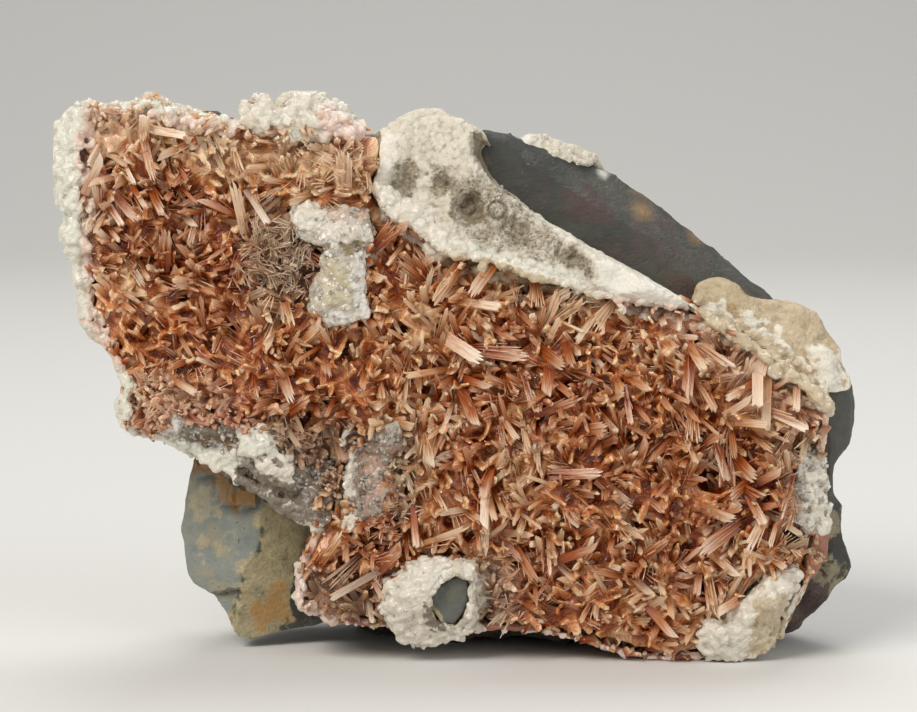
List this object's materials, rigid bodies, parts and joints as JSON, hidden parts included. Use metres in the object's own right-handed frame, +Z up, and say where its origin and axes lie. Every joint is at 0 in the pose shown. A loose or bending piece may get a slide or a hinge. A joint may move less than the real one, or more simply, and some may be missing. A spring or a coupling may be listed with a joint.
{
  "type": "inesite on matrix mineral specimen",
  "caption": "Hand-sized mineral specimen: a druse of salmon bladed crystals on cream calcite over a block of dark rock, resting upright on its flat heel.",
  "frame": {"origin": "middle of the specimen's base, on the surface that it rests on", "axes": "+X to the right along the crystal face, +Y into the rock, away from the crystals, +Z up"},
  "size_m": [0.094, 0.0414, 0.0658],
  "materials": {
    "dark_rock": "smooth broken charcoal rock with grey, purple-brown and ochre stains",
    "calcite": "granular cream-white calcite crust, dull",
    "inesite": "salmon to orange-brown bladed crystals with pale tips and silky flat faces",
    "drusy_quartz": "greyish-cream druse of tiny glassy quartz crystals",
    "iron_stained_crust": "rough beige crust with ochre stains"
  },
  "bodies": {
    "root": {"matrix_rock": "dark_rock", "rock_inclusion": "dark_rock", "calcite_layer": "calcite", "calcite_patch": "calcite", "ridge_cap": "calcite", "inesite_druse": "inesite", "quartz_plate": "drusy_quartz", "quartz_ring": "drusy_quartz", "quartz_knob": "drusy_quartz", "quartz_ledge": "drusy_quartz", "quartz_edge": "drusy_quartz", "tan_crust": "iron_stained_crust"}
  },
  "joints": []
}
